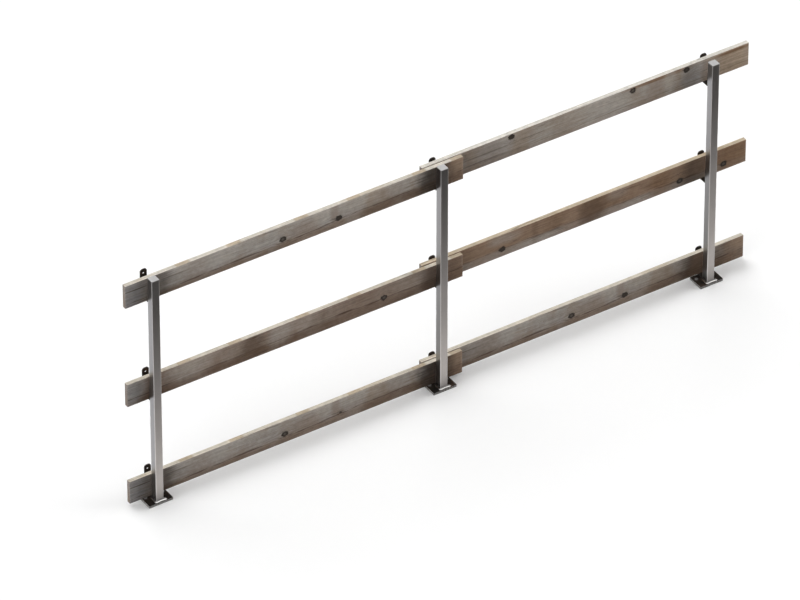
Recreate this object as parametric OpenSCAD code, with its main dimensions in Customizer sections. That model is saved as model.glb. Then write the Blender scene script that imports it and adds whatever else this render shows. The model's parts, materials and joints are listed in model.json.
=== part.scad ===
// Temporary edge protection railing: square tube posts on anchor plates, with bent flat-bar
// brackets that carry loose timber boards in two lapped bays.
// Frame: origin under the middle post on the underside of its base plate, +X along the railing,
// +Y towards the boards, +Z up. Lengths are in millimetres.

/* [Posts] */
// Side of the square post tube
tube_side = 40; // [36:1:60]
// Wall of the post tube
tube_wall = 2; // [1.5:0.1:2.6]
// Outer corner radius of the post tube
tube_corner_r = 3; // [2.5:0.5:7]
// Height of the post's top above the underside of its base plate
post_h = 1266; // [900:1:1500]
// Distance between the left and middle posts
left_bay = 1538; // [800:1:2400]
// Distance between the middle and right posts
right_bay = 1490; // [800:1:2400]

/* [Post caps] */
// Thickness of the cap that shows on top of the tube
cap_t = 4; // [3:0.5:8]
// Radius of the cap's upper edges
cap_edge_r = 2.5; // [1:0.5:2.5]
// Depth of the plug that the cap reaches down inside the tube
cap_plug_h = 14; // [6:1:30]
// Gap between the plug and the tube's inner wall
cap_plug_clearance = 0.2; // [0.1:0.05:0.5]

/* [Feet] */
// Width of a base plate along the railing
plate_w = 126; // [110:1:200]
// Reach of a base plate in front of its post
plate_front_reach = 11; // [9:1:40]
// Reach of a base plate behind its post
plate_back_reach = 41; // [30:1:120]
// Thickness of a base plate
plate_t = 12; // [8:1:20]
// Corner radius of a base plate
plate_corner_r = 2; // [1:0.5:12]
// Diameter of an anchor hole
anchor_hole_d = 12; // [8:1:18]
// Distance between the two anchor holes of a plate
anchor_spacing = 90; // [70:1:94]
// Distance from the back of the post to the line of the anchor holes
anchor_setback = 13; // [0:1:20]
// Reach of the weld bead out from the post and up it
weld_leg = 8.5; // [5:0.5:9]
// Thickness of the hollow weld bead along its two edges
weld_toe = 1; // [0.5:0.1:2]
// Run of the front weld bead past the right side of its post
weld_overrun = 8; // [2:1:16]

/* [Boards] */
// Height of a board
board_h = 125; // [90:1:200]
// Thickness of a board
board_t = 22; // [15:1:40]
// Chamfer along a board's sawn edges
board_arris = 1.2; // [0.4:0.1:3]
// Drop from the post's top to the upper edge of the top board
top_board_drop = 12; // [0:1:60]
// Reach of the left boards past the left post
left_end_reach = 130; // [60:1:400]
// Reach of the left boards past the middle post
left_lap = 132; // [60:1:400]
// Reach of the right boards back past the middle post
right_lap = 74; // [60:1:400]
// Reach of the right boards past the right post
right_end_reach = 236; // [60:1:400]

/* [Brackets] */
// Width of the flat bar that a bracket is bent from
bar_w = 35; // [27:1:40]
// Thickness of the flat bar
bar_t = 4; // [3:0.5:8]
// Inside radius of the bar's bends
bend_r = 3; // [1:0.5:5]
// Free space on each face of a board in a bracket that holds two
board_play = 5.3; // [5:0.1:15]
// Height of the leg that is welded to the post
leg_h = 70; // [30:1:85]
// Height of the tab above the board's upper edge
tab_rise = 12; // [10:1:60]
// Radius of the tab's upper corners
tab_corner_r = 13; // [4:0.5:17]
// Diameter of the nail hole in the tab
nail_hole_d = 9; // [4:0.5:14]
// Depth of the nail hole's centre below the board's upper edge
nail_drop = 10.5; // [0:0.5:20]

/* [Hidden] */
$fn = 48;

// Overrun of every cut past the faces that it opens
cut_over = 2;

// Names of the posts, rails and bays, from left to right and from the foot up
post_names = ["left", "middle", "right"];
rail_names = ["toe", "mid", "top"];
bay_names = ["left", "right"];

// Post positions along the railing
post_xs = [-left_bay, 0, right_bay];
post_back = tube_side / 2;
tube_flat = tube_side - 2 * tube_corner_r;
tube_inner_side = tube_side - 2 * tube_wall;
tube_inner_corner_r = tube_corner_r - tube_wall;

// Base plate, measured from the post's axis
plate_d = plate_front_reach + tube_side + plate_back_reach;
plate_mid_y = (plate_back_reach - plate_front_reach) / 2;
anchor_y = post_back + anchor_setback;

// Bracket slot: two boards with equal play on every side
slot_w = 2 * board_t + 3 * board_play;
bracket_d = slot_w + 2 * bar_t;
tab_top = board_h + tab_rise;

// Lower edges of the three rails: the toe bracket lies on the base plate, the mid rail halfway up
toe_z = plate_t + bar_t;
top_z = post_h - top_board_drop - board_h;
rail_zs = [toe_z, (toe_z + top_z) / 2, top_z];

// Front faces of the boards: left boards lie next to the posts, right boards behind them
left_board_y = post_back + bar_t + board_play;
board_ys = [left_board_y, left_board_y + board_t + board_play];
board_starts = [-left_bay - left_end_reach, -right_lap];
board_ends = [left_lap, right_bay + right_end_reach];

// Colours as the pieces look when in use
galvanised_grey = [0.56, 0.57, 0.57];
cap_grey = [0.72, 0.72, 0.71];
plate_brown = [0.13, 0.12, 0.11];
weld_grey = [0.66, 0.66, 0.65];
bracket_brown = [0.16, 0.13, 0.11];
timber_grey = [0.50, 0.45, 0.40];

// Rectangle about the origin with round corners
module rounded_rectangle(w, d, r) {
    square([w - 2 * r, d], center = true);
    square([w, d - 2 * r], center = true);
    for (x = [-1, 1], y = [-1, 1])
        translate([x * (w / 2 - r), y * (d / 2 - r)])
            circle(r);
}

// Upright section that stands on the X axis of its plane, with round lower corners
module round_bottomed(w, h, r) {
    translate([0, r])
        square([w, h - r]);
    translate([r, 0])
        square([w - 2 * r, r]);
    for (x = [r, w - r])
        translate([x, r])
            circle(r);
}

// Anchor plate under a post, with a hole on each side behind the tube
module base_plate(post_x) {
    color(plate_brown)
        translate([post_x, 0, 0])
            difference() {
                translate([0, plate_mid_y, 0])
                    linear_extrude(plate_t)
                        rounded_rectangle(plate_w, plate_d, plate_corner_r);
                for (side = [-1, 1])
                    translate([side * anchor_spacing / 2, anchor_y, -cut_over])
                        cylinder(d = anchor_hole_d, h = plate_t + 2 * cut_over);
            }
}

// Section of the hollow weld bead, standing against the post at the left
module weld_section() {
    difference() {
        square(weld_leg);
        translate([weld_leg, weld_leg])
            circle(weld_leg - weld_toe);
    }
}

// Straight run of the weld bead along +X, its post side on the X axis and its toe towards -Y
module weld_run(length) {
    rotate([90, 0, -90])
        translate([0, 0, -length])
            linear_extrude(length)
                weld_section();
}

// Weld bead along the left side and the front of a post's foot, with a round end past its right side
module foot_weld(post_x) {
    flat = tube_flat / 2;
    end_x = post_back + weld_overrun;
    color(weld_grey)
        translate([post_x, 0, plate_t]) {
            translate([-post_back, flat, 0])
                rotate(-90)
                    weld_run(tube_flat);
            translate([-flat, -flat, 0])
                rotate(180)
                    rotate_extrude(angle = 90)
                        translate([tube_corner_r, 0])
                            weld_section();
            translate([-flat, -post_back, 0])
                weld_run(flat + end_x);
            translate([end_x, -post_back, 0]) {
                rotate(-90)
                    rotate_extrude(angle = 180)
                        weld_section();
                rotate(180)
                    weld_run(weld_overrun);
            }
        }
}

// Square hollow section of a post, standing on its base plate
module post_tube(post_x) {
    color(galvanised_grey)
        translate([post_x, 0, plate_t])
            linear_extrude(post_h - cap_t - plate_t)
                difference() {
                    rounded_rectangle(tube_side, tube_side, tube_corner_r);
                    rounded_rectangle(tube_inner_side, tube_inner_side, tube_inner_corner_r);
                }
}

// Side view of a cap that stands on the X axis, its upper corners rounded
module cap_side_view() {
    translate([tube_side / 2, cap_t])
        rotate(180)
            round_bottomed(tube_side, cap_t, cap_edge_r);
}

// The cap's side view, run through the depth of the post along Y
module cap_side_run() {
    rotate([90, 0, 0])
        linear_extrude(tube_side, center = true)
            cap_side_view();
}

// Cap that closes a post, with rounded upper edges and a plug inside the tube
module post_cap(post_x) {
    plug_side = tube_inner_side - 2 * cap_plug_clearance;
    color(cap_grey)
        translate([post_x, 0, post_h - cap_t]) {
            intersection() {
                linear_extrude(cap_t)
                    rounded_rectangle(tube_side, tube_side, tube_corner_r);
                cap_side_run();
                rotate(90)
                    cap_side_run();
            }
            translate([0, 0, -cap_plug_h])
                linear_extrude(cap_plug_h)
                    rounded_rectangle(plug_side, plug_side, tube_inner_corner_r);
        }
}

// Side view of a bracket: leg on the post, arm under the boards and tab behind them
module bracket_side_view() {
    difference() {
        translate([0, -bar_t])
            round_bottomed(bracket_d, bar_t + tab_top, bend_r + bar_t);
        translate([bar_t, 0])
            round_bottomed(slot_w, tab_top + cut_over, bend_r);
        translate([-cut_over, leg_h])
            square([cut_over + bar_t + bend_r, tab_top - leg_h + cut_over]);
    }
}

// What is cut from a square corner to round it
module corner_waste(r) {
    difference() {
        square(r + cut_over);
        circle(r);
    }
}

// Flat bar bent into a channel, with round tab corners and a nail hole in the tab
module bracket(post_x, rail_z) {
    tab_cut_y = bracket_d - bar_t - cut_over;
    tab_cut_d = bar_t + 2 * cut_over;
    corner_x = bar_w / 2 - tab_corner_r;
    corner_z = tab_top - tab_corner_r;
    color(bracket_brown)
        translate([post_x, post_back, rail_z])
            difference() {
                rotate([90, 0, 90])
                    linear_extrude(bar_w, center = true)
                        bracket_side_view();
                translate([0, tab_cut_y + tab_cut_d, 0])
                    rotate([90, 0, 0]) {
                        for (side = [0, 1])
                            mirror([side, 0, 0])
                                translate([corner_x, corner_z, 0])
                                    linear_extrude(tab_cut_d)
                                        corner_waste(tab_corner_r);
                        translate([0, board_h - nail_drop, 0])
                            cylinder(d = nail_hole_d, h = tab_cut_d);
                    }
            }
}

// Cross-section of a sawn board with eased edges, its lower front corner at the origin
module board_section() {
    polygon([
        [board_arris, 0], [board_t - board_arris, 0],
        [board_t, board_arris], [board_t, board_h - board_arris],
        [board_t - board_arris, board_h], [board_arris, board_h],
        [0, board_h - board_arris], [0, board_arris]
    ]);
}

// Board of one bay, lying on the brackets of the posts at both ends of the bay
module board(bay, rail_z) {
    color(timber_grey)
        translate([board_starts[bay], board_ys[bay], rail_z])
            rotate([90, 0, 90])
                linear_extrude(board_ends[bay] - board_starts[bay])
                    board_section();
}

for (i = [0 : len(post_names) - 1]) {
    base_plate(post_xs[i]);
    foot_weld(post_xs[i]);
    post_tube(post_xs[i]);
    post_cap(post_xs[i]);
}

for (i = [0 : len(post_names) - 1], j = [0 : len(rail_names) - 1])
    bracket(post_xs[i], rail_zs[j]);

for (i = [0 : len(bay_names) - 1], j = [0 : len(rail_names) - 1])
    board(i, rail_zs[j]);
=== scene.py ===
# Temporary edge protection railing: three zinc coated posts on bolted plates carry six loose,
# weathered boards in two lapped bays. Lengths are in metres.
import json
import math

import bmesh
import bpy
from mathutils import Matrix, Vector, noise


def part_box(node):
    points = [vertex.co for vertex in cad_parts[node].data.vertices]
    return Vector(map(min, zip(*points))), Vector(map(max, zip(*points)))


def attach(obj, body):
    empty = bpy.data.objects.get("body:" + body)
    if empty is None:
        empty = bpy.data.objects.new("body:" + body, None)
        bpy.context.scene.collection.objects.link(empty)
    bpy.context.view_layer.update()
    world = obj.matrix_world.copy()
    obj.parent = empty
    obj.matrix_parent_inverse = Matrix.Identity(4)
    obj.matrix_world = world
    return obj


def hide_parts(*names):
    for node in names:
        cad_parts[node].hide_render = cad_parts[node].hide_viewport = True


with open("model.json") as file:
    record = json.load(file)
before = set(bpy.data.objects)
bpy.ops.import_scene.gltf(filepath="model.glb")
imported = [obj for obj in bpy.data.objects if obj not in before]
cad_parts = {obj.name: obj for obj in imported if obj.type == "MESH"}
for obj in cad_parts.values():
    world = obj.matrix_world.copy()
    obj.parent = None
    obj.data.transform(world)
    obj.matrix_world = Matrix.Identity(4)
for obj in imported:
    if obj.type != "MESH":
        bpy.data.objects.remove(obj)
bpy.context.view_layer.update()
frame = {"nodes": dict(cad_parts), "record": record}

# Base plates. Each post stands on a plate cut from thick hot-rolled bar. The rolling skin stays on
# it, near black and brown, and the sheared sides and rubbed edges show grey steel.
posts = ("left", "middle", "right")
rolling_skin = (0.012, 0.011, 0.010, 1.0)
rolling_skin_brown = (0.046, 0.033, 0.026, 1.0)
sheared_grey = (0.270, 0.264, 0.255, 1.0)
rubbed_grey = (0.165, 0.160, 0.152, 1.0)
rust_brown = (0.095, 0.042, 0.020, 1.0)
plate_rub_width = 0.0016
skin_pit_depth = 0.0004


def put(tree, kind, inputs=None, **settings):
    """Adds a node, sets it up and feeds its sockets with values or with the outputs of other nodes."""
    node = tree.nodes.new("ShaderNode" + kind)
    for name, value in settings.items():
        setattr(node, name, value)
    for name, value in (inputs or {}).items():
        if isinstance(value, bpy.types.NodeSocket):
            tree.links.new(value, node.inputs[name])
        else:
            node.inputs[name].default_value = value
    return node


def maths(tree, operation, *values, clamp=False):
    """One Math node."""
    return put(tree, "Math", dict(enumerate(values)), operation=operation, use_clamp=clamp).outputs[0]


def vector_maths(tree, operation, *values):
    """One Vector Math node that puts out a vector."""
    return put(tree, "VectorMath", dict(enumerate(values)), operation=operation).outputs["Vector"]


def blend(tree, share, first, second, how="MIX"):
    """Colour that goes from the first to the second as share goes from 0 to 1."""
    node = put(tree, "Mix", {0: share, 6: first, 7: second}, data_type="RGBA", blend_type=how)
    return node.outputs[2]


def soft_step(tree, value, low, high, to_low=0.0, to_high=1.0):
    """Value eased from to_low at low to to_high at high."""
    limits = {"Value": value, "From Min": low, "From Max": high, "To Min": to_low, "To Max": to_high}
    return put(tree, "MapRange", limits, interpolation_type="SMOOTHSTEP").outputs["Result"]


def cloud(tree, place, cells, detail=3.0, roughness=0.55, distortion=0.0):
    """Soft noise from 0 to 1, with cells per metre along X, Y and Z."""
    look = {"Vector": vector_maths(tree, "MULTIPLY", place, cells), "Scale": 1.0, "Detail": detail,
            "Roughness": roughness, "Distortion": distortion}
    return put(tree, "TexNoise", look).outputs[0]


def new_group(name, inputs, outputs):
    """Empty shader node group with its named sockets, and both ends to build between."""
    group = bpy.data.node_groups.new(name, "ShaderNodeTree")
    for socket, kind in inputs.items():
        group.interface.new_socket(socket, in_out="INPUT", socket_type="NodeSocket" + kind)
    for socket, kind in outputs.items():
        group.interface.new_socket(socket, in_out="OUTPUT", socket_type="NodeSocket" + kind)
    given = group.nodes.new("NodeGroupInput").outputs
    wanted = group.nodes.new("NodeGroupOutput").inputs
    return group, given, wanted


def new_finish(name):
    """Material with its node tree, its shader and the place on the piece that its patterns follow."""
    finish = bpy.data.materials.new(name)
    finish.use_nodes = True
    tree = finish.node_tree
    shader = tree.nodes["Principled BSDF"].inputs
    place = put(tree, "TexCoord").outputs["Object"]
    return finish, tree, shader, place


def dress(node, finish):
    """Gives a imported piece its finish."""
    piece = frame["nodes"][node]
    piece.data.materials.clear()
    piece.data.materials.append(finish)


# Wear where edges are rubbed bare: a normal rounded over Width departs from the true one there
edge_wear, given, wanted = new_group(
    "edge_wear", {"Place": "Vector", "Width": "Float", "Patchiness": "Float"}, {"Mask": "Float"})
rounded = put(edge_wear, "Bevel", {"Radius": given["Width"]}, samples=6).outputs["Normal"]
true_normal = put(edge_wear, "NewGeometry").outputs["Normal"]
agreement = put(edge_wear, "VectorMath", {0: rounded, 1: true_normal},
                operation="DOT_PRODUCT").outputs["Value"]
nearness = soft_step(edge_wear, agreement, 0.985, 0.86)
patches = cloud(edge_wear, given["Place"], (70.0, 70.0, 70.0), detail=4.0)
unworn = maths(edge_wear, "MULTIPLY", soft_step(edge_wear, patches, 0.60, 0.36), given["Patchiness"])
edge_wear.links.new(maths(edge_wear, "MULTIPLY", nearness, maths(edge_wear, "SUBTRACT", 1.0, unworn)),
                    wanted["Mask"])

# Skin of hot-rolled steel: broad brown clouding, fine pitting and a few freckles of rust
rolled_skin, given, wanted = new_group(
    "rolled_skin", {"Place": "Vector"}, {"Browning": "Float", "Rust": "Float", "Pitting": "Float"})
clouding = cloud(rolled_skin, given["Place"], (22.0, 22.0, 22.0), detail=5.0, roughness=0.6)
rolled_skin.links.new(soft_step(rolled_skin, clouding, 0.35, 0.70), wanted["Browning"])
freckles = cloud(rolled_skin, given["Place"], (150.0, 150.0, 150.0), roughness=0.7)
gathering = cloud(rolled_skin, given["Place"], (15.0, 15.0, 15.0), detail=2.0)
rolled_skin.links.new(maths(rolled_skin, "MULTIPLY", soft_step(rolled_skin, freckles, 0.56, 0.68),
                            soft_step(rolled_skin, gathering, 0.46, 0.62)), wanted["Rust"])
rolled_skin.links.new(cloud(rolled_skin, given["Place"], (420.0, 420.0, 420.0), detail=2.0),
                      wanted["Pitting"])


def rolled_steel(name, skin, browned, rub_width, sheared=None):
    """Dark rolled steel, with grey sheared sides on what is cut from plate."""
    finish, tree, shader, place = new_finish(name)
    marks = put(tree, "Group", {"Place": place}, node_tree=rolled_skin).outputs
    worn = put(tree, "Group", {"Place": place, "Width": rub_width, "Patchiness": 0.6},
               node_tree=edge_wear).outputs["Mask"]
    colour = blend(tree, marks["Browning"], skin, browned)
    if sheared:
        facing = put(tree, "SeparateXYZ", {0: put(tree, "NewGeometry").outputs["Normal"]}).outputs["Z"]
        upright = soft_step(tree, maths(tree, "ABSOLUTE", facing), 0.7, 0.3)
        shear_marks = cloud(tree, place, (260.0, 260.0, 30.0))
        side = blend(tree, soft_step(tree, shear_marks, 0.40, 0.75), sheared, browned)
        colour = blend(tree, upright, colour, side)
    colour = blend(tree, marks["Rust"], colour, rust_brown)
    colour = blend(tree, worn, colour, rubbed_grey)
    tree.links.new(colour, shader["Base Color"])
    tree.links.new(soft_step(tree, marks["Browning"], 0.0, 1.0, 0.46, 0.66), shader["Roughness"])
    shader["Specular IOR Level"].default_value = 0.15
    pits = {"Strength": 0.25, "Distance": skin_pit_depth, "Height": marks["Pitting"]}
    tree.links.new(put(tree, "Bump", pits).outputs["Normal"], shader["Normal"])
    return finish


plate_steel = rolled_steel("plate_steel", rolling_skin, rolling_skin_brown, plate_rub_width, sheared_grey)
for post in posts:
    dress(post + "_base_plate", plate_steel)

# Anchors. A zinc plated anchor with a washer and a low hexagon head holds each plate down through
# both of its holes. The heads stay low enough to lie under the toe boards.
washer_r = 0.0115
washer_t = 0.0015
washer_sides = 40
head_corner_r = 0.0086
head_h = 0.0021
head_sides = 6
rim_chamfer = 0.0006
mm = 0.001
plated_zinc = (0.52, 0.53, 0.55, 1.0)


def new_piece(name, mesh, finishes, slot, *replaced):
    """Object from a finished bmesh, riding on the railing's one body."""
    data = bpy.data.meshes.new(name)
    mesh.to_mesh(data)
    mesh.free()
    for finish in finishes:
        data.materials.append(finish)
    piece = bpy.data.objects.new(name, data)
    bpy.context.scene.collection.objects.link(piece)
    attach(piece, "root")
    if replaced:
        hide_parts(*replaced)
    return piece


def add_disc(mesh, seat, radius, height, sides):
    """Adds a flat disc with a chamfered upper rim, its underside centred on seat."""
    middle = Matrix.Translation(seat + Vector((0, 0, height / 2)))
    made = bmesh.ops.create_cone(mesh, cap_ends=True, segments=sides, radius1=radius, radius2=radius,
                                 depth=height, matrix=middle)
    upper = {corner for corner in made["verts"] if corner.co.z > seat.z + height / 2}
    rim = [edge for edge in mesh.edges if set(edge.verts) <= upper]
    bmesh.ops.bevel(mesh, geom=rim, offset=rim_chamfer, affect="EDGES", segments=2, profile=0.5,
                    material=-1)


anchor_zinc, tree, shader, place = new_finish("anchor_zinc")
dulling = cloud(tree, place, (300.0, 300.0, 300.0))
tree.links.new(blend(tree, soft_step(tree, dulling, 0.4, 0.65), plated_zinc, sheared_grey),
               shader["Base Color"])
tree.links.new(soft_step(tree, dulling, 0.3, 0.7, 0.32, 0.55), shader["Roughness"])
shader["Metallic"].default_value = 0.8
mounts = {mount["name"]: mount for mount in frame["record"]["mounts"]}
for post in posts:
    holes = mounts[post + "_anchors"]
    plate_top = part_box(post + "_base_plate")[1].z
    half_spacing = holes["dims"]["spacing_x_mm"] * mm / 2
    washers = bmesh.new()
    heads = bmesh.new()
    for side in (-1, 1):
        seat = Vector((holes["pos_m"][0] + side * half_spacing, holes["pos_m"][1], plate_top))
        add_disc(washers, seat, washer_r, washer_t, washer_sides)
        add_disc(heads, seat + Vector((0, 0, washer_t)), head_corner_r, head_h, head_sides)
    new_piece(post + "_anchor_washers", washers, [plate_steel], "plate_steel")
    new_piece(post + "_anchor_heads", heads, [anchor_zinc], "weld_zinc")

# Foot welds. One hollow bead of weld runs along the left side and the front of each post's foot, is
# slimmer in front and ends in a blob past the tube. It was zinc coated with the post and is bright at its
# toe, and its upper half is painted darker as shade.
tube_corner_r = 0.003
weld_leg = 0.0085
weld_overrun = 0.008
bead_toe_share = 0.12
bead_step = 0.0011
ripple_pitch = 0.0036
ripple_share = 0.09
bead_end_share = 0.7
bead_arc_steps = 7
zinc_relief = 0.0002
foot_spangle = 0.003
foot_zinc = (0.95, 0.945, 0.93, 1.0)
foot_zinc_dull = (0.80, 0.79, 0.77, 1.0)
# Painted shade on the upper half of each foot weld's bead.
bead_painted_shade = (0.240, 0.235, 0.230, 1.0)
bead_shade_from = 0.24
bead_shade_to = 0.44
bead_waist_share = 0.28
across, away, up = Vector((1, 0, 0)), Vector((0, 1, 0)), Vector((0, 0, 1))


def bead_run(direction, length):
    """Straight stretch of a bead, as its small moves one after the other."""
    count = max(1, round(length / bead_step))
    return [Matrix.Translation(direction * (length / count))] * count


def bead_turn(centre, angle, radius):
    """Stretch of a bead round an upright corner, as its small moves."""
    count = max(1, round(abs(angle) * radius / bead_step))
    about = Matrix.Translation(centre)
    return [about @ Matrix.Rotation(angle / count, 4, "Z") @ about.inverted()] * count


def add_bead(mesh, root, outward, upward, reach, height, moves, waist=range(0)):
    """Sweeps a hollow fillet section from its root corner through the moves, swelling in ripples
    and slimmer along the moves of its waist."""
    earlier = set(mesh.verts)
    lip = mesh.verts.new(root + outward + upward * bead_toe_share)
    bmesh.ops.spin(mesh, geom=[lip], cent=root + outward + upward, axis=outward.cross(upward),
                   angle=-math.pi / 2, steps=bead_arc_steps)
    arc = [corner for corner in mesh.verts if corner not in earlier]
    brow = max(arc, key=lambda corner: (corner.co - root).dot(upward))
    heel = mesh.verts.new(root)
    toe = mesh.verts.new(root + outward)
    crest = mesh.verts.new(root + upward)
    for pair in ((lip, toe), (toe, heel), (heel, crest), (crest, brow)):
        mesh.edges.new(pair)
    arc += [toe, crest]
    for corner in arc:
        arm = corner.co - root
        corner.co = root + outward * (arm.dot(outward) * reach) + upward * (arm.dot(upward) * height)
    section = set(arc) | {heel}
    ring = [edge for edge in mesh.edges if set(edge.verts) <= section]
    ends = [ring]
    swell = 1.0
    for count, move in enumerate(moves):
        made = bmesh.ops.extrude_edge_only(mesh, edges=ring)["geom"]
        section = {part for part in made if isinstance(part, bmesh.types.BMVert)}
        edges = [part for part in made if isinstance(part, bmesh.types.BMEdge)]
        ring = [edge for edge in edges if set(edge.verts) <= section]
        root = move @ root
        phase = (count + 1) * bead_step / ripple_pitch
        wanted_swell = 1.0 - ripple_share * (phase % 1.0)
        if count in waist:
            wanted_swell -= bead_waist_share * math.sin(math.pi * waist.index(count) / len(waist))
        if count + 1 == len(moves):
            wanted_swell = bead_end_share
        for corner in section:
            corner.co = root + (move @ corner.co - root) * (wanted_swell / swell)
        swell = wanted_swell
    ends.append(ring)
    for ring in ends:
        bmesh.ops.edgeloop_fill(mesh, edges=ring)
    for face in mesh.faces:
        face.smooth = True


# Zinc coat: crystal spangle, drawn streaks that run down the piece and a dull bloom in patches
zinc_coat, given, wanted = new_group(
    "zinc_coat", {"Place": "Vector", "Spangle Size": "Float"},
    {"Spangle": "Float", "Streaks": "Float", "Bloom": "Float"})
crystals = put(zinc_coat, "TexVoronoi",
               {"Vector": given["Place"], "Scale": maths(zinc_coat, "DIVIDE", 1.0, given["Spangle Size"])})
crystal_tone = put(zinc_coat, "SeparateColor", {0: crystals.outputs["Color"]}).outputs["Red"]
zinc_coat.links.new(crystal_tone, wanted["Spangle"])
zinc_coat.links.new(cloud(zinc_coat, given["Place"], (260.0, 260.0, 2.5), detail=4.0), wanted["Streaks"])
zinc_coat.links.new(cloud(zinc_coat, given["Place"], (14.0, 14.0, 5.0), detail=5.0, roughness=0.6),
                    wanted["Bloom"])


def zinc(name, bright, dull, spangle_size, smoothest, roughest, patch):
    """Zinc coated steel between a bright and a dull tone, and with one more tone on its patch."""
    finish, tree, shader, place = new_finish(name)
    coat = put(tree, "Group", {"Place": place, "Spangle Size": spangle_size}, node_tree=zinc_coat).outputs
    dulled = soft_step(tree, coat["Bloom"], 0.36, 0.66)
    colour = blend(tree, dulled, bright, dull)
    where, tone = patch(tree, place)
    colour = blend(tree, where, colour, tone)
    spangle = maths(tree, "MULTIPLY_ADD", coat["Spangle"], 0.03, 0.985)
    streak = maths(tree, "MULTIPLY_ADD", coat["Streaks"], 0.10, 0.95)
    shade = maths(tree, "MULTIPLY", spangle, streak)
    tint = put(tree, "CombineColor", {0: shade, 1: shade, 2: shade}).outputs[0]
    tree.links.new(blend(tree, 1.0, colour, tint, "MULTIPLY"), shader["Base Color"])
    gloss = maths(tree, "MULTIPLY_ADD", coat["Spangle"], 0.25, maths(tree, "MULTIPLY", dulled, 0.75))
    tree.links.new(soft_step(tree, gloss, 0.0, 1.0, smoothest, roughest), shader["Roughness"])
    shader["Metallic"].default_value = 1.0
    facets = maths(tree, "MULTIPLY", coat["Spangle"], 0.25)
    relief = maths(tree, "MULTIPLY_ADD", coat["Streaks"], 0.6, facets)
    bump = put(tree, "Bump", {"Strength": 0.04, "Distance": zinc_relief, "Height": relief})
    tree.links.new(bump.outputs["Normal"], shader["Normal"])
    return finish


def bead_upper_shade(tree, place):
    """Upper half of a foot weld's bead, painted darker than its toe as shade, so that only the toe shows
    bright.
    """
    height = put(tree, "SeparateXYZ", {0: place}).outputs["Z"]
    low = plate_top + weld_leg * bead_shade_from
    high = plate_top + weld_leg * bead_shade_to
    return soft_step(tree, height, low, high), bead_painted_shade


foot_weld_zinc = zinc("foot_weld_zinc", foot_zinc, foot_zinc_dull, foot_spangle, 0.14, 0.26, bead_upper_shade)
for post in posts:
    tube_low, tube_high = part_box(post + "_post_tube")
    flat = tube_high.x - tube_low.x - 2 * tube_corner_r
    corner = Vector((tube_low.x + tube_corner_r, tube_low.y + tube_corner_r, tube_low.z))
    overrun = Vector((tube_high.x + weld_overrun, tube_low.y, tube_low.z))
    moves = bead_run(-away, flat)
    moves += bead_turn(corner, math.pi / 2, tube_corner_r + weld_leg / 2)
    front_start = len(moves)
    moves += bead_run(across, overrun.x - corner.x)
    front_run = range(front_start, len(moves))
    moves += bead_turn(overrun, math.pi, weld_leg / 2)
    moves += bead_run(-across, weld_overrun)
    mesh = bmesh.new()
    start = corner + away * flat - across * tube_corner_r
    add_bead(mesh, start, -across, up, weld_leg, weld_leg, moves, front_run)
    bmesh.ops.recalc_face_normals(mesh, faces=mesh.faces)
    new_piece(post + "_foot_weld_bead", mesh, [foot_weld_zinc], "weld_zinc", post + "_foot_weld")

# Post tubes and caps. The posts are cold-formed square tube, zinc coated after welding, and each is closed
# by a pressed cap that plugs into its top, coloured lighter than the tube as painted light for the
# brighter light that falls on its top.
tube_zinc = (0.415, 0.408, 0.406, 1.0)
tube_zinc_dull = (0.385, 0.379, 0.378, 1.0)
# Painted highlight along the rounded corners of the tubes and caps.
painted_corner_highlight = (0.80, 0.80, 0.80, 1.0)
# The caps' tones are lighter than the tube's as painted top light.
cap_zinc_top_lit = (0.56, 0.555, 0.55, 1.0)
cap_zinc_top_lit_dull = (0.52, 0.515, 0.51, 1.0)
tube_spangle = 0.009
cap_spangle = 0.006


def highlit_corner(tree, place):
    """Rounded corner of a tube or a cap, painted brighter as a highlight."""
    facing = put(tree, "SeparateXYZ", {0: put(tree, "NewGeometry").outputs["Normal"]}).outputs
    both_ways = maths(tree, "ABSOLUTE", maths(tree, "MULTIPLY", facing["X"], facing["Y"]))
    return soft_step(tree, both_ways, 0.12, 0.42), painted_corner_highlight


tube_finish = zinc("tube_zinc", tube_zinc, tube_zinc_dull, tube_spangle, 0.28, 0.32, highlit_corner)
cap_finish = zinc("cap_zinc_top_lit", cap_zinc_top_lit, cap_zinc_top_lit_dull, cap_spangle, 0.38, 0.46, highlit_corner)
for post in posts:
    dress(post + "_post_tube", tube_finish)
    dress(post + "_post_cap", cap_finish)

# Brackets. Each is one flat bar bent into a channel, welded to the post's back by its short leg, and
# the tall tab behind the boards has a nail hole. The steel is dark, with rubbed edges.
rails = ("toe", "mid", "top")
bar_t = 0.004
leg_h = 0.070
leg_weld_inset = 0.006
leg_weld_reach = 0.0024
leg_weld_sink = 0.002
bracket_rub_width = 0.0012
bracket_skin = (0.015, 0.013, 0.012, 1.0)
bracket_skin_brown = (0.032, 0.023, 0.017, 1.0)

bracket_steel = rolled_steel("bracket_steel", bracket_skin, bracket_skin_brown, bracket_rub_width)
for post in posts:
    mesh = bmesh.new()
    for rail in rails:
        bracket = post + "_" + rail + "_bracket"
        dress(bracket, bracket_steel)
        low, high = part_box(bracket)
        weld_foot = low.z + bar_t + leg_weld_inset
        for side, edge_x in ((-1, low.x), (1, high.x)):
            root = Vector((edge_x, low.y - leg_weld_sink, weld_foot))
            add_bead(mesh, root, across * side, away, leg_weld_reach, bar_t + leg_weld_sink,
                     bead_run(up, leg_h - 2 * leg_weld_inset))
    bmesh.ops.recalc_face_normals(mesh, faces=mesh.faces)
    new_piece(post + "_bracket_welds", mesh, [bracket_steel], "bracket_steel")
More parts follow.
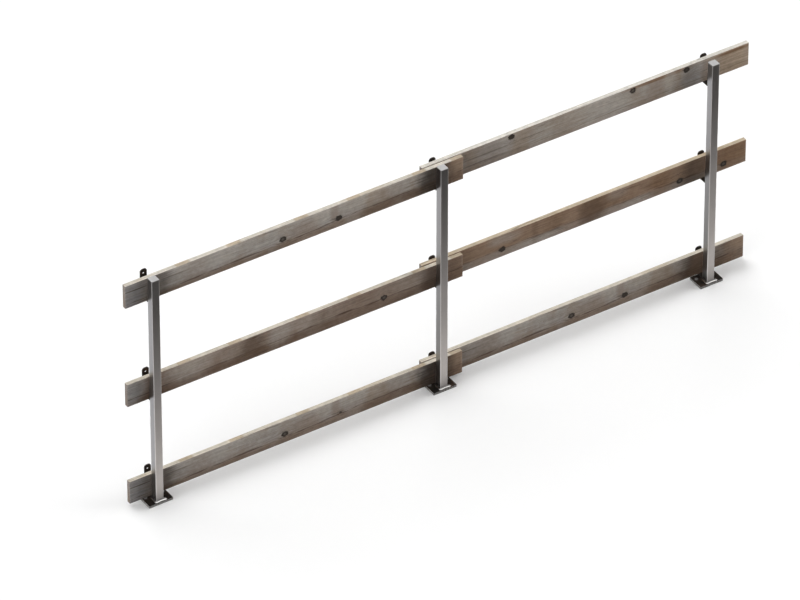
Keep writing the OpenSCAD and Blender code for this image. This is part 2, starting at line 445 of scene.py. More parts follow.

# Boards. Six planks sawn from softwood lie loose in the brackets, the left bay's in front of the right
# bay's where they lap. Their faces have weathered grey and brown, with painted shade beside the posts, and
# the sawn edges are paler.
board_cell = 0.012
board_rows = 9
board_ease = 0.0012
bow_reach = 0.0016
bow_waves_per_m = 0.55
edge_wander = 0.0009
edge_waves_per_m = 3.1
edges_apart = 3.0
wander_row = 7.0
pith_depth = 0.055
pith_wander = 0.030
growth_ring = 0.0044
grain_relief = 0.0007
band_sway = 0.030
band_fray = 0.030
band_fade_over = 0.012
band_fade_under = 0.014
line_fray = 0.016
line_thin = 0.0008
line_thick = 0.0062
grey_tones = dict(pale=(0.405, 0.373, 0.340, 1.0), warm=(0.335, 0.278, 0.225, 1.0),
                  band=(0.225, 0.166, 0.124, 1.0))
brown_tones = dict(pale=(0.345, 0.285, 0.240, 1.0), warm=(0.245, 0.180, 0.142, 1.0),
                   band=(0.160, 0.108, 0.077, 1.0))
ruddy_tones = dict(pale=(0.310, 0.210, 0.145, 1.0), warm=(0.240, 0.157, 0.104, 1.0),
                   band=(0.320, 0.265, 0.222, 1.0))
ring_brown = (0.205, 0.142, 0.102, 1.0)
stain_brown = (0.115, 0.072, 0.046, 1.0)
damp_grey = (0.285, 0.270, 0.260, 1.0)
stub_brown = (0.230, 0.152, 0.104, 1.0)
stub_tan = (0.365, 0.262, 0.186, 1.0)
stub_cool = (0.315, 0.312, 0.318, 1.0)
honey_grey = (0.510, 0.385, 0.278, 1.0)
column_brown = (0.270, 0.205, 0.158, 1.0)
column_pale = (0.465, 0.420, 0.372, 1.0)
column_cool = (0.500, 0.485, 0.465, 1.0)
column_dun = (0.235, 0.172, 0.132, 1.0)
stub_pale = (0.370, 0.358, 0.350, 1.0)
column_ruddy = (0.235, 0.140, 0.080, 1.0)
fresh_ruddy = (0.275, 0.165, 0.096, 1.0)
line_brown = (0.075, 0.046, 0.033, 1.0)
# Painted shade: the darkening of the boards beside the posts, painted into their colour.
painted_post_shade = (0.040, 0.029, 0.022, 1.0)
crack_dark = (0.050, 0.036, 0.028, 1.0)
knot_heart = (0.050, 0.038, 0.031, 1.0)
knot_heart_pale = (0.120, 0.103, 0.088, 1.0)
knot_rim = (0.036, 0.029, 0.025, 1.0)
sawn_cream = (0.640, 0.600, 0.530, 1.0)
sawn_pale = (0.720, 0.690, 0.630, 1.0)
sawn_straw = (0.620, 0.570, 0.485, 1.0)
sawn_honey = (0.560, 0.470, 0.350, 1.0)
sawn_gold = (0.400, 0.300, 0.190, 1.0)
tick_brown = (0.300, 0.215, 0.135, 1.0)
tick_pitch = 0.013
tick_slant = 0.6
gold_half = 0.042
gold_fade = 0.012
end_grey = (0.360, 0.335, 0.315, 1.0)
end_brown = (0.200, 0.150, 0.115, 1.0)

# Knot: a dark rim round a heart, with the grain flowing past it on both sides
timber_knot, given, wanted = new_group(
    "timber_knot", {"Place": "Vector", "Bent Place": "Vector", "Centre": "Vector", "Radius": "Float"},
    {"Bent Place": "Vector", "Heart": "Float", "Rim": "Float"})
arm = vector_maths(timber_knot, "SUBTRACT", given["Place"], given["Centre"])
oval = vector_maths(timber_knot, "MULTIPLY", arm, (0.85, 0.0, 1.0))
reach = put(timber_knot, "VectorMath", {0: oval}, operation="LENGTH").outputs["Value"]
unevenness = cloud(timber_knot, given["Place"], (75.0, 0.0, 75.0))
wobble = maths(timber_knot, "MULTIPLY_ADD", unevenness, 1.1, 0.45)
radii = maths(timber_knot, "DIVIDE", maths(timber_knot, "MULTIPLY", reach, wobble), given["Radius"])
timber_knot.links.new(soft_step(timber_knot, radii, 0.85, 0.55), wanted["Heart"])
timber_knot.links.new(maths(timber_knot, "MULTIPLY", soft_step(timber_knot, radii, 0.30, 0.78),
                            soft_step(timber_knot, radii, 1.50, 0.90)), wanted["Rim"])
pull = soft_step(timber_knot, radii, 4.5, 0.4, 0.0, -0.85)
parted = put(timber_knot, "VectorMath", {0: vector_maths(timber_knot, "MULTIPLY", arm, (0.0, 0.0, 1.0)),
                                         "Scale": pull}, operation="SCALE").outputs["Vector"]
timber_knot.links.new(vector_maths(timber_knot, "ADD", given["Bent Place"], parted), wanted["Bent Place"])

# Grain: growth rings about a wandering pith in front of the board, fibres and drying cracks
timber_grain, given, wanted = new_group(
    "timber_grain", {"Place": "Vector", "Middle Height": "Float"},
    {"Rings": "Float", "Fibres": "Float", "Cracks": "Float"})
along_wander = cloud(timber_grain, given["Place"], (0.9, 0.0, 0.0), detail=2.0)
local_wander = cloud(timber_grain, given["Place"], (3.0, 12.0, 12.0), detail=3.0)
parts = put(timber_grain, "SeparateXYZ", {0: given["Place"]}).outputs
depth = maths(timber_grain, "ADD", parts["Y"],
              maths(timber_grain, "MULTIPLY_ADD", along_wander, pith_wander, pith_depth))
rise = maths(timber_grain, "SUBTRACT", parts["Z"], given["Middle Height"])
depth_square = maths(timber_grain, "MULTIPLY", depth, depth)
rise_square = maths(timber_grain, "MULTIPLY", rise, rise)
ring_reach = maths(timber_grain, "SQRT", maths(timber_grain, "ADD", depth_square, rise_square))
ring_count = maths(timber_grain, "ADD", maths(timber_grain, "DIVIDE", ring_reach, growth_ring),
                   maths(timber_grain, "MULTIPLY", local_wander, 1.1))
latewood = maths(timber_grain, "FRACT", ring_count)
timber_grain.links.new(maths(timber_grain, "MULTIPLY", soft_step(timber_grain, latewood, 0.25, 0.85),
                             soft_step(timber_grain, latewood, 1.0, 0.93)), wanted["Rings"])
long_fibres = cloud(timber_grain, given["Place"], (4.0, 150.0, 150.0), detail=4.0, roughness=0.65)
fine_fibres = cloud(timber_grain, given["Place"], (18.0, 800.0, 800.0), detail=3.0, roughness=0.6)
timber_grain.links.new(maths(timber_grain, "MULTIPLY_ADD", long_fibres, 0.6,
                             maths(timber_grain, "MULTIPLY", fine_fibres, 0.4)), wanted["Fibres"])
crack_lines = cloud(timber_grain, given["Place"], (1.5, 20.0, 55.0), detail=2.0, roughness=0.4)
crack_gap = maths(timber_grain, "ABSOLUTE", maths(timber_grain, "SUBTRACT", crack_lines, 0.5))
crack_here = cloud(timber_grain, given["Place"], (2.2, 9.0, 9.0), detail=2.0)
timber_grain.links.new(maths(timber_grain, "MULTIPLY", soft_step(timber_grain, crack_gap, 0.016, 0.003),
                             soft_step(timber_grain, crack_here, 0.52, 0.60)), wanted["Cracks"])

# Weathering: a browner band along the lower edge, a broken dark line along its rim, and broad clouding
timber_weather, given, wanted = new_group(
    "timber_weather",
    {"Place": "Vector", "Log Place": "Vector", "Band Height": "Float", "Band Rise": "Float"},
    {"Band": "Float", "Line": "Float", "Clouding": "Float"})
parts = put(timber_weather, "SeparateXYZ", {0: given["Place"]}).outputs
swaying = cloud(timber_weather, given["Log Place"], (2.6, 0.0, 0.0), detail=3.0)
sway = maths(timber_weather, "SUBTRACT", swaying, 0.5)
rim_height = maths(timber_weather, "MULTIPLY_ADD", sway, band_sway, given["Band Height"])
rim_height = maths(timber_weather, "MULTIPLY_ADD", parts["X"], given["Band Rise"], rim_height)
over = maths(timber_weather, "SUBTRACT", parts["Z"], rim_height)
fraying = cloud(timber_weather, given["Log Place"], (9.0, 0.0, 120.0), detail=3.0)
fray = maths(timber_weather, "SUBTRACT", fraying, 0.5)
frayed = maths(timber_weather, "MULTIPLY_ADD", fray, band_fray, over)
timber_weather.links.new(soft_step(timber_weather, frayed, band_fade_over, -band_fade_under),
                         wanted["Band"])
line_over = maths(timber_weather, "MULTIPLY_ADD", fray, line_fray, over)
line_gap = maths(timber_weather, "ABSOLUTE", line_over)
line_here = cloud(timber_weather, given["Log Place"], (5.0, 0.0, 0.0), detail=3.0)
line_half = soft_step(timber_weather, line_here, 0.34, 0.66, line_thin, line_thick)
line_near = maths(timber_weather, "DIVIDE", line_gap, line_half)
line_seen = maths(timber_weather, "MULTIPLY", soft_step(timber_weather, line_near, 1.0, 0.2),
                  soft_step(timber_weather, line_here, 0.36, 0.52, 0.20, 1.0))
timber_weather.links.new(line_seen, wanted["Line"])
columns = cloud(timber_weather, given["Log Place"], (6.0, 5.0, 2.8), roughness=0.5, distortion=0.2)
timber_weather.links.new(maths(timber_weather, "MULTIPLY_ADD", fray, 0.30, columns), wanted["Clouding"])

# Stain: a soft, ragged patch, drawn out along the grain
timber_stain, given, wanted = new_group(
    "timber_stain", {"Place": "Vector", "Centre": "Vector", "Reach": "Vector"}, {"Mask": "Float"})
arm = vector_maths(timber_stain, "SUBTRACT", given["Place"], given["Centre"])
arm = vector_maths(timber_stain, "DIVIDE", arm, given["Reach"])
on_face = vector_maths(timber_stain, "MULTIPLY", arm, (1.0, 0.0, 1.0))
spread = put(timber_stain, "VectorMath", {0: on_face}, operation="LENGTH").outputs["Value"]
fringe = cloud(timber_stain, given["Place"], (14.0, 0.0, 11.0), detail=4.0)
streaks = cloud(timber_stain, given["Place"], (9.0, 0.0, 120.0))
ragged = maths(timber_stain, "MULTIPLY_ADD", fringe, 0.5, maths(timber_stain, "SUBTRACT", spread, 0.5))
ragged = maths(timber_stain, "MULTIPLY_ADD", streaks, 0.5, ragged)
timber_stain.links.new(soft_step(timber_stain, ragged, 1.05, 0.25), wanted["Mask"])


def timber(name, low, size, log, tones, sawn, knots, stains, gilded, gilding, band, browning, bleach):
    """Finish of one board: weathered faces, paler sawn edges and grey end grain."""
    finish, tree, shader, place = new_finish(name)
    corner = Vector((-low.x, -low.y, -low.z))
    local = put(tree, "Mapping", {"Vector": place, "Location": corner}).outputs[0]

    def spot(along_share, up_share):
        return size.x * along_share, 0.0, size.z * up_share

    bent, heart, dark_heart, rim = local, 0.0, 0.0, 0.0
    for along_share, up_share, radius, darkness in knots:
        setting = {"Place": local, "Bent Place": bent, "Centre": spot(along_share, up_share),
                   "Radius": radius}
        knot = put(tree, "Group", setting, node_tree=timber_knot).outputs
        bent = knot["Bent Place"]
        heart = maths(tree, "MAXIMUM", heart, knot["Heart"])
        dark_heart = maths(tree, "MAXIMUM", dark_heart, maths(tree, "MULTIPLY", knot["Heart"], darkness))
        rim = maths(tree, "MAXIMUM", rim, knot["Rim"])
    log_place = vector_maths(tree, "ADD", bent, (log, 0.0, 0.0))
    setting = {"Place": log_place, "Middle Height": size.z / 2}
    grain = put(tree, "Group", setting, node_tree=timber_grain).outputs
    start_share, end_share, band_depth, line_depth = band
    setting = {"Place": local, "Log Place": log_place, "Band Height": size.z * start_share,
               "Band Rise": size.z * (end_share - start_share) / size.x}
    weather = put(tree, "Group", setting, node_tree=timber_weather).outputs

    # Weathered faces, with the band, the stains and the line
    face = blend(tree, soft_step(tree, weather["Clouding"], 0.62 - browning, 0.86 - browning),
                 tones["pale"], tones["warm"])
    banding = soft_step(tree, weather["Clouding"], 0.25, 0.60, 0.5, 1.0)
    banded = maths(tree, "MULTIPLY", weather["Band"], banding)
    face = blend(tree, maths(tree, "MULTIPLY", banded, band_depth), face, tones["band"])
    height = put(tree, "SeparateXYZ", {0: local}).outputs["Z"]
    faded = soft_step(tree, height, size.z * 0.25, size.z * 1.05, 1.0, bleach)
    faded_tint = put(tree, "CombineColor", {0: faded, 1: faded, 2: faded}).outputs[0]
    face = blend(tree, 1.0, face, faded_tint, "MULTIPLY")
    for along_share, up_share, half_length, half_height, strength, stain_colour in stains:
        setting = {"Place": local, "Centre": spot(along_share, up_share),
                   "Reach": (half_length, 1.0, half_height)}
        stain = put(tree, "Group", setting, node_tree=timber_stain).outputs["Mask"]
        face = blend(tree, maths(tree, "MULTIPLY", stain, strength), face, stain_colour)
    face = blend(tree, maths(tree, "MULTIPLY", weather["Line"], line_depth), face, line_brown)

    # Sawn edges with gilded stretches and saw ticks, and grey ends
    facing = put(tree, "SeparateXYZ", {0: put(tree, "NewGeometry").outputs["Normal"]}).outputs
    on_edge = soft_step(tree, maths(tree, "ABSOLUTE", facing["Z"]), 0.55, 0.85)
    on_end = soft_step(tree, maths(tree, "ABSOLUTE", facing["X"]), 0.55, 0.85)
    along = put(tree, "SeparateXYZ", {0: local}).outputs["X"]
    gold_here = cloud(tree, log_place, (4.2, 3.0, 3.0), detail=4.0, roughness=0.6)
    gold = soft_step(tree, gold_here, 0.54, 0.64, 0.0, gilding)
    for along_share in gilded:
        gap = maths(tree, "ABSOLUTE", maths(tree, "SUBTRACT", along, size.x * along_share))
        gold_spot = soft_step(tree, gap, gold_half, gold_half - gold_fade, 0.0, 0.65)
        gold = maths(tree, "MAXIMUM", gold, gold_spot)
    edge = blend(tree, gold, sawn, sawn_gold)
    tick_sway = cloud(tree, log_place, (30.0, 30.0, 0.0), detail=2.0)
    slanted = put(tree, "VectorMath", {0: local, 1: (1.0 / tick_pitch, tick_slant / tick_pitch, 0.0)},
                  operation="DOT_PRODUCT").outputs["Value"]
    tick_phase = maths(tree, "FRACT", maths(tree, "MULTIPLY_ADD", tick_sway, 1.4, slanted))
    tick_patches = cloud(tree, log_place, (3.0, 0.0, 0.0), detail=2.0)
    tick_here = soft_step(tree, tick_patches, 0.42, 0.60, 0.15, 0.75)
    ticks = maths(tree, "MULTIPLY", soft_step(tree, tick_phase, 0.72, 0.95), tick_here)
    edge = blend(tree, ticks, edge, tick_brown)
    end = blend(tree, grain["Rings"], end_grey, end_brown)
    end = blend(tree, soft_step(tree, height, size.z, 0.0, 0.0, 0.5), end, end_brown)
    colour = blend(tree, on_edge, face, edge)
    colour = blend(tree, on_end, colour, end)

    # Fibres, rings, cracks and knots over all of them
    fibre = soft_step(tree, grain["Fibres"], 0.30, 0.70, 0.79, 1.19)
    mottle = cloud(tree, log_place, (42.0, 42.0, 58.0), detail=5.0, roughness=0.65)
    fibre = maths(tree, "MULTIPLY", fibre, soft_step(tree, mottle, 0.32, 0.68, 0.90, 1.10))
    fibre_tint = put(tree, "CombineColor", {0: fibre, 1: fibre, 2: fibre}).outputs[0]
    colour = blend(tree, 1.0, colour, fibre_tint, "MULTIPLY")
    ring_share = maths(tree, "MULTIPLY", grain["Rings"], soft_step(tree, on_edge, 0.0, 1.0, 0.17, 0.10))
    colour = blend(tree, ring_share, colour, ring_brown)
    colour = blend(tree, maths(tree, "MULTIPLY", grain["Cracks"], 0.45), colour, crack_dark)
    on_face = maths(tree, "SUBTRACT", 1.0, maths(tree, "MAXIMUM", on_edge, on_end), clamp=True)
    knot_tone = blend(tree, dark_heart, knot_heart_pale, knot_heart)
    colour = blend(tree, maths(tree, "MULTIPLY", heart, on_face), colour, knot_tone)
    colour = blend(tree, maths(tree, "MULTIPLY", rim, on_face), colour, knot_rim)
    tree.links.new(colour, shader["Base Color"])
    tree.links.new(soft_step(tree, grain["Fibres"], 0.2, 0.8, 0.92, 0.74), shader["Roughness"])
    shader["Specular IOR Level"].default_value = 0.18
    relief = maths(tree, "MULTIPLY", grain["Fibres"], 0.65)
    relief = maths(tree, "MULTIPLY_ADD", grain["Rings"], 0.35, relief)
    relief = maths(tree, "SUBTRACT", relief, maths(tree, "MULTIPLY", grain["Cracks"], 1.5))
    relief = maths(tree, "SUBTRACT", relief, maths(tree, "MULTIPLY", ticks, on_edge))
    bump = put(tree, "Bump", {"Strength": 0.45, "Distance": grain_relief, "Height": relief})
    tree.links.new(bump.outputs["Normal"], shader["Normal"])
    return finish


def plank(low, size, log):
    """Sawn plank with eased edges that bows and wanders a little along its length."""
    mesh = bmesh.new()
    bmesh.ops.create_cube(mesh, size=1.0)
    bmesh.ops.scale(mesh, vec=size, verts=mesh.verts)
    bmesh.ops.translate(mesh, vec=low + size / 2, verts=mesh.verts)
    for way, cells in ((across, round(size.x / board_cell)), (up, board_rows)):
        reach = abs(size.dot(way)) / 2
        runs = [edge for edge in mesh.edges
                if abs((edge.verts[0].co - edge.verts[1].co).dot(way)) > reach]
        bmesh.ops.subdivide_edges(mesh, edges=runs, cuts=cells - 1, use_grid_fill=True)
    corners = [edge for edge in mesh.edges if edge.calc_face_angle(0.0) > math.pi / 4]
    bmesh.ops.bevel(mesh, geom=corners, offset=board_ease, affect="EDGES", segments=2, profile=0.5,
                    material=-1)
    for point in mesh.verts:
        place = point.co - low
        bow = noise.noise((log + place.x * bow_waves_per_m, 0.0, 0.0))
        upper = place.z / size.z
        wander = noise.noise((log + place.x * edge_waves_per_m, edges_apart * upper, wander_row))
        point.co.y += bow * bow_reach
        point.co.z += edge_wander * (wander * upper + abs(wander) * (1.0 - upper))
    for face in mesh.faces:
        face.smooth = abs(face.normal.y) > 0.9
    return mesh


# Knots give their place along and up the board as shares, their radius and how dark their heart is.
# Stains give their place, half their length and height, their strength and their colour.
# A band gives the share of the board's height that it takes at both ends, its depth and its line's.
knot_r = 0.0125
pin_knot_r = 0.0045
crack_half = 0.006
wide_crack_half = 0.007
post_shade_half = 0.260


def crack(along_share, up_share, half_length, strength, half_height=crack_half):
    """Thin dark crack along the grain."""
    return along_share, up_share, half_length, half_height, strength, line_brown


def post_shade(along_share, up_share, half_length, strength):
    """Painted shade over a board's whole height beside a post."""
    return along_share, up_share, half_length, post_shade_half, strength, painted_post_shade


left_gilding = (0.17, 0.32, 0.52, 0.675, 0.87, 0.985)
rising_band = (0.15, 0.42, 1.0, 0.75)
grey_knots = [(0.462, 0.40, knot_r, 0.25), (0.628, 0.40, knot_r, 1.0)]
left_stub = (0.01, 0.50, 0.110, 0.200, 0.80, stub_cool)
right_stub = (0.98, 0.50, 0.080, 0.200, 0.90, stub_brown)
left_stub_crack = crack(0.030, 0.69, 0.090, 0.70)
right_stub_top = (0.98, 0.80, 0.080, 0.062, 0.95, stub_tan)
grey_foot = (0.800, 0.20, 0.300, 0.040, 0.45, stain_brown)
grey_columns = [(0.205, 0.50, 0.110, 0.150, 0.30, column_brown),
                (0.365, 0.68, 0.090, 0.090, 0.55, column_cool),
                (0.525, 0.36, 0.115, 0.110, 0.60, column_brown),
                (0.580, 0.80, 0.045, 0.055, 0.45, column_pale),
                (0.200, 0.12, 0.180, 0.035, 0.25, stain_brown),
                crack(0.150, 0.69, 0.100, 0.50),
                (0.615, 0.75, 0.035, 0.100, 0.50, column_brown),
                (0.675, 0.60, 0.070, 0.130, 0.45, column_pale),
                (0.790, 0.45, 0.120, 0.130, 0.35, column_brown)]
boards = {
    "left_bay_top": dict(log=3.1, tones=grey_tones, sawn=sawn_cream, band=rising_band,
                         browning=0.18, bleach=1.22, gilded=left_gilding, gilding=0.3, knots=grey_knots,
                         stains=grey_columns + [left_stub, left_stub_crack, right_stub, right_stub_top,
                                                grey_foot,
                                                post_shade(0.090, 0.50, 0.120, 0.55),
                                                post_shade(0.912, 0.40, 0.110, 0.88)]),
    "left_bay_mid": dict(log=11.4, tones=brown_tones, sawn=sawn_straw, band=(0.30, 0.45, 1.0, 0.65),
                         browning=0.18, bleach=1.12, gilded=left_gilding, gilding=0.3,
                         knots=[(0.762, 0.43, knot_r, 0.25)],
                         stains=[(0.365, 0.40, 0.110, 0.160, 0.80, stain_brown),
                                 (0.455, 0.70, 0.095, 0.090, 0.60, column_pale),
                                 (0.170, 0.70, 0.130, 0.090, 0.50, column_pale),
                                 (0.720, 0.65, 0.330, 0.170, 0.55, column_dun),
                                 (0.575, 0.35, 0.100, 0.110, 0.30, stain_brown),
                                 (0.820, 0.10, 0.110, 0.030, 0.40, stain_brown),
                                 crack(0.645, 0.46, 0.070, 0.90, half_height=wide_crack_half),
                                 crack(0.727, 0.39, 0.055, 0.80),
                                 (0.01, 0.65, 0.100, 0.120, 0.85, stub_pale), right_stub,
                                 post_shade(0.074, 0.50, 0.055, 0.45),
                                 post_shade(0.915, 0.45, 0.075, 0.45)]),
    "left_bay_toe": dict(log=3.1, tones=grey_tones, sawn=sawn_straw, band=rising_band,
                         browning=0.18, bleach=1.15, gilded=left_gilding, gilding=0.3,
                         knots=[(0.462, 0.39, knot_r, 0.25), (0.630, 0.37, pin_knot_r, 0.0)],
                         stains=grey_columns + [left_stub, left_stub_crack, right_stub, right_stub_top,
                                                grey_foot,
                                                (0.630, 0.38, 0.028, 0.022, 0.45, stain_brown),
                                                (0.500, 0.35, 0.900, 0.075, 0.22, column_dun),
                                                post_shade(0.088, 0.40, 0.130, 0.70),
                                                post_shade(0.915, 0.40, 0.125, 0.96)]),
    "right_bay_top": dict(log=23.7, tones=grey_tones, sawn=sawn_pale, band=(0.24, 0.20, 0.4, 0.35),
                          browning=0.24, bleach=1.15, gilded=(), gilding=0.0,
                          knots=[(0.270, 0.86, knot_r, 1.0), (0.641, 0.84, knot_r, 0.25),
                                 (0.807, 0.84, knot_r, 0.8)],
                          stains=[(0.17, 0.45, 0.200, 0.260, 0.35, stain_brown),
                                  (0.37, 0.40, 0.100, 0.150, 0.40, column_pale),
                                  (0.545, 0.50, 0.270, 0.170, 0.70, column_pale),
                                  (0.715, 0.50, 0.065, 0.160, 0.30, column_ruddy),
                                  (0.720, 0.94, 0.250, 0.017, 0.85, column_ruddy),
                                  crack(0.190, 0.55, 0.200, 0.50),
                                  crack(0.180, 0.27, 0.170, 0.50),
                                  (0.755, 0.50, 0.055, 0.120, 0.65, column_pale),
                                  (0.825, 0.40, 0.080, 0.150, 0.60, damp_grey),
                                  # Painted shade beside the right post, in stain brown.
                                  (0.868, 0.35, 0.040, 0.140, 0.50, stain_brown),
                                  (0.95, 0.50, 0.160, 0.260, 0.88, honey_grey),
                                  (0.95, 0.90, 0.170, 0.013, 0.90, column_ruddy)]),
    "right_bay_mid": dict(log=31.9, tones=ruddy_tones, sawn=sawn_honey, band=(0.36, 0.30, 1.0, 0.50),
                          browning=0.20, bleach=1.05, gilded=(), gilding=0.7,
                          knots=[(0.245, 0.33, knot_r, 1.0), (0.793, 0.28, knot_r, 0.25),
                                 (0.930, 0.28, knot_r, 0.25)],
                          stains=[(0.250, 0.80, 0.120, 0.045, 0.45, column_pale),
                                  (0.600, 0.85, 0.080, 0.045, 0.28, column_pale),
                                  (0.340, 0.12, 0.160, 0.035, 0.50, column_pale),
                                  (0.660, 0.12, 0.110, 0.035, 0.45, column_pale),
                                  (0.345, 0.65, 0.030, 0.110, 0.35, stain_brown),
                                  (0.518, 0.45, 0.105, 0.170, 0.80, stain_brown),
                                  (0.720, 0.60, 0.120, 0.020, 0.45, stain_brown),
                                  (0.735, 0.60, 0.085, 0.140, 0.60, column_ruddy),
                                  crack(0.828, 0.32, 0.045, 0.80),
                                  (0.960, 0.60, 0.140, 0.200, 0.75, fresh_ruddy),
                                  post_shade(0.846, 0.45, 0.115, 0.64)]),
    "right_bay_toe": dict(log=3.1, tones=grey_tones, sawn=sawn_straw, band=rising_band,
                          browning=0.22, bleach=1.15, gilded=(), gilding=0.3, knots=grey_knots,
                          stains=grey_columns + [(0.15, 0.50, 0.200, 0.260, 0.25, stain_brown),
                                                 grey_foot,
                                                 (0.500, 0.35, 0.900, 0.075, 0.18, column_dun),
                                                 post_shade(0.852, 0.40, 0.112, 0.78),
                                                 (0.985, 0.50, 0.140, 0.260, 0.75, stub_brown),
                                                 (0.880, 0.40, 0.150, 0.200, 0.75, stain_brown),
                                                 # Painted shade low down beside the right post.
                                                 (0.868, 0.18, 0.060, 0.080, 0.45, painted_post_shade),
                                                 (0.990, 0.80, 0.075, 0.055, 0.90, stub_tan)]),
}
for board, look in boards.items():
    low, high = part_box(board + "_board")
    finish = timber(board + "_timber", low, high - low, **look)
    new_piece(board + "_plank", plank(low, high - low, look["log"]), [finish], "weathered_timber",
              board + "_board")

# Floor. A wide pale sheet lies under the plates. The camera and the metal see it white, with the
# railing's soft shadow, and the light that it throws back on the railing is dim.
floor_half = 40.0
floor_drop = 0.0004
floor_paper = (0.92, 0.92, 0.92, 1.0)
floor_bounce = (0.10, 0.099, 0.097, 1.0)
floor_lift = 0.08


def seen_directly(tree):
    """1 for what the camera sees, straight, in a mirror or through glass, and 0 for other light."""
    path = put(tree, "LightPath").outputs
    either = maths(tree, "ADD", path["Is Camera Ray"], path["Is Glossy Ray"])
    return maths(tree, "ADD", either, path["Is Transmission Ray"], clamp=True)


def stage_sheet(name, low_x, high_x, low_y, high_y, height):
    """Flat sheet of the studio that isn't part of the railing."""
    mesh = bmesh.new()
    bmesh.ops.create_grid(mesh, x_segments=1, y_segments=1, size=1.0)
    bmesh.ops.scale(mesh, vec=((high_x - low_x) / 2, (high_y - low_y) / 2, 1.0), verts=mesh.verts)
    bmesh.ops.translate(mesh, vec=((low_x + high_x) / 2, (low_y + high_y) / 2, height), verts=mesh.verts)
    data = bpy.data.meshes.new(name)
    mesh.to_mesh(data)
    mesh.free()
    sheet = bpy.data.objects.new(name, data)
    bpy.context.scene.collection.objects.link(sheet)
    finish = bpy.data.materials.new(name)
    finish.use_nodes = True
    finish.node_tree.nodes.remove(finish.node_tree.nodes["Principled BSDF"])
    data.materials.append(finish)
    return sheet, finish.node_tree


tree = stage_sheet("studio_floor", -floor_half, floor_half, -floor_half, floor_half, -floor_drop)[1]
direct = seen_directly(tree)
paper_tone = blend(tree, direct, floor_bounce, floor_paper)
paper = put(tree, "BsdfDiffuse", {"Color": paper_tone}).outputs[0]
lift = put(tree, "Emission", {"Strength": maths(tree, "MULTIPLY", direct, floor_lift)}).outputs[0]
lit_paper = put(tree, "AddShader", {0: paper, 1: lift}).outputs[0]
tree.links.new(lit_paper, tree.nodes["Material Output"].inputs["Surface"])

# Cards. As a photographer gives bright metal its dark sides, one card that darkens away from the posts,
# with a painted shadow of their feet beside them, lies on the floor in front of the railing, and a grey
# one lies behind it, with the railing's painted shade. Only reflections show them.
card_reach = 9.0
card_lift = 0.002
front_card_near_y = -0.033
front_card_foot_shadow_y = -0.13
front_card_foot_shadow_share = 0.50
front_card_pale_y = -0.20
front_card_dark_y = -1.5
front_card_pale = (0.97, 0.91, 0.87, 1.0)
front_card_dark = (0.0, 0.0, 0.0, 1.0)
front_card_fall = 1.35
rear_card_near_y = 0.10
rear_card_pale_y = 1.35
rear_card_pale_x = -1.62
rear_card_shade_x = -1.15
rear_card_pale = (0.81, 0.81, 0.83, 1.0)
rear_card_shade = (0.46, 0.455, 0.45, 1.0)


def lay_card(name, low_y, high_y):
    """Card on the floor, with the place on it that its tone follows."""
    card, tree = stage_sheet(name, -card_reach, card_reach, low_y, high_y, card_lift)
    card.visible_camera = False
    card.visible_diffuse = False
    card.visible_shadow = False
    card.visible_transmission = False
    return tree, put(tree, "SeparateXYZ", {0: put(tree, "TexCoord").outputs["Object"]}).outputs


def paint_card(tree, tone):
    """Makes a card show one tone however it is lit."""
    paint = put(tree, "Emission", {"Color": tone}).outputs[0]
    tree.links.new(paint, tree.nodes["Material Output"].inputs["Surface"])


tree, card_spot = lay_card("front_card", -card_reach, front_card_near_y)
limits = {"Value": card_spot["Y"], "From Min": front_card_dark_y, "From Max": front_card_pale_y}
nearness = put(tree, "MapRange", limits).outputs[0]
# Painted shadow of the feet on the front card, next to the posts.
foot_shadow = soft_step(tree, card_spot["Y"], front_card_near_y, front_card_foot_shadow_y,
                        front_card_foot_shadow_share, 1.0)
fall = maths(tree, "MULTIPLY", maths(tree, "POWER", nearness, front_card_fall), foot_shadow)
paint_card(tree, blend(tree, fall, front_card_dark, front_card_pale))
tree, card_spot = lay_card("rear_card", rear_card_near_y, card_reach)
# The rear card is darker behind the middle and right posts and near the railing: a grey floor there, with
# the railing's painted shade on it.
railing_shade = maths(tree, "MULTIPLY", soft_step(tree, card_spot["X"], rear_card_pale_x, rear_card_shade_x),
                   soft_step(tree, card_spot["Y"], rear_card_pale_y, rear_card_near_y))
paint_card(tree, blend(tree, railing_shade, rear_card_pale, rear_card_shade))

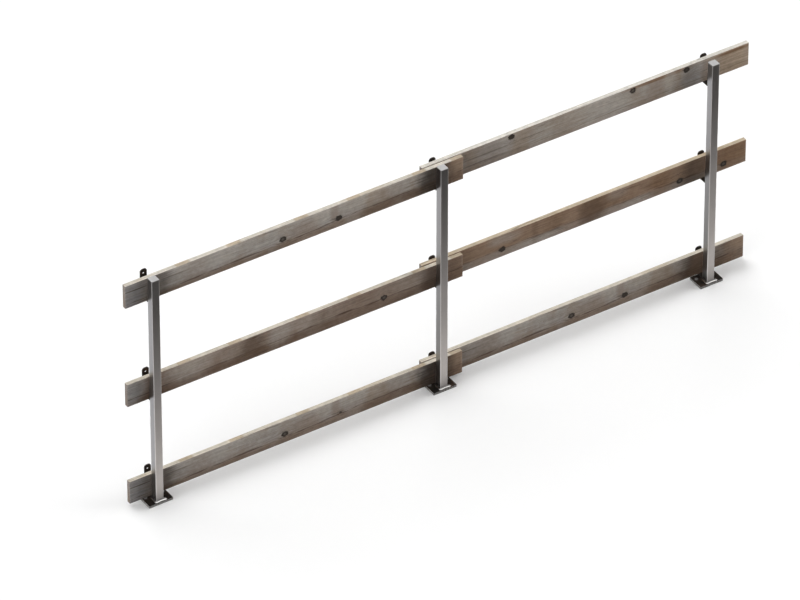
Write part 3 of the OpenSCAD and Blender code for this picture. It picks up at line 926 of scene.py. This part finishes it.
# Light. Soft boxes stand at both sides of the railing and hang over and behind it, and a weak dome
# fills in, so that the faces between the posts are lit and the posts shade the boards beside them.
# Each box's turn, rise and spread are in degrees.
dome_strength = 0.09
studio_white = (1.0, 1.0, 1.0, 1.0)
soft_boxes = {
    "overhead_soft_box": dict(turn=0, rise=90, spread=75, strength=0.18),
    "rear_soft_box": dict(turn=180, rise=42, spread=60, strength=0.60),
    "right_soft_box": dict(turn=75, rise=8, spread=50, strength=1.30),
    "left_soft_box": dict(turn=-75, rise=8, spread=50, strength=1.00),
}

world = bpy.data.worlds.new("studio_dome")
bpy.context.scene.world = world
world.use_nodes = True
tree = world.node_tree
dome = tree.nodes["Background"]
dome.inputs["Color"].default_value = studio_white
dome.inputs["Strength"].default_value = dome_strength
backdrop = put(tree, "Background", {"Color": studio_white, "Strength": 1.0})
either_sky = put(tree, "MixShader", {0: seen_directly(tree), 1: dome.outputs[0], 2: backdrop.outputs[0]})
tree.links.new(either_sky.outputs[0], tree.nodes["World Output"].inputs["Surface"])
for name, box in soft_boxes.items():
    lamp_data = bpy.data.lights.new(name, "SUN")
    lamp_data.energy = box["strength"] * math.pi
    lamp_data.angle = math.radians(box["spread"])
    lamp = bpy.data.objects.new(name, lamp_data)
    rise = Matrix.Rotation(math.radians(-box["rise"]), 4, "X")
    lamp_from = Matrix.Rotation(math.radians(box["turn"]), 4, "Z") @ rise @ -away
    lamp.rotation_euler = lamp_from.to_track_quat("Z", "Y").to_euler()
    lamp.visible_glossy = False
    bpy.context.scene.collection.objects.link(lamp)

# Camera. It looks down on the railing from the front and left, far off through a long lens, so that
# the posts and the boards stay nearly parallel.
camera_place = Vector((-18.03497, -27.58997, 25.68884))
camera_tilt = math.radians(52.62243)
camera_turn = math.radians(-32.83778)
camera_lens = 407.39
camera_sensor = 36.0
camera_far = 200.0

camera_data = bpy.data.cameras.new("studio_camera")
camera_data.lens = camera_lens
camera_data.sensor_width = camera_sensor
camera_data.clip_end = camera_far
camera = bpy.data.objects.new("studio_camera", camera_data)
camera.location = camera_place
camera.rotation_euler = (camera_tilt, 0, camera_turn)
bpy.context.scene.collection.objects.link(camera)
bpy.context.scene.camera = camera
bpy.context.scene.view_settings.view_transform = "Standard"
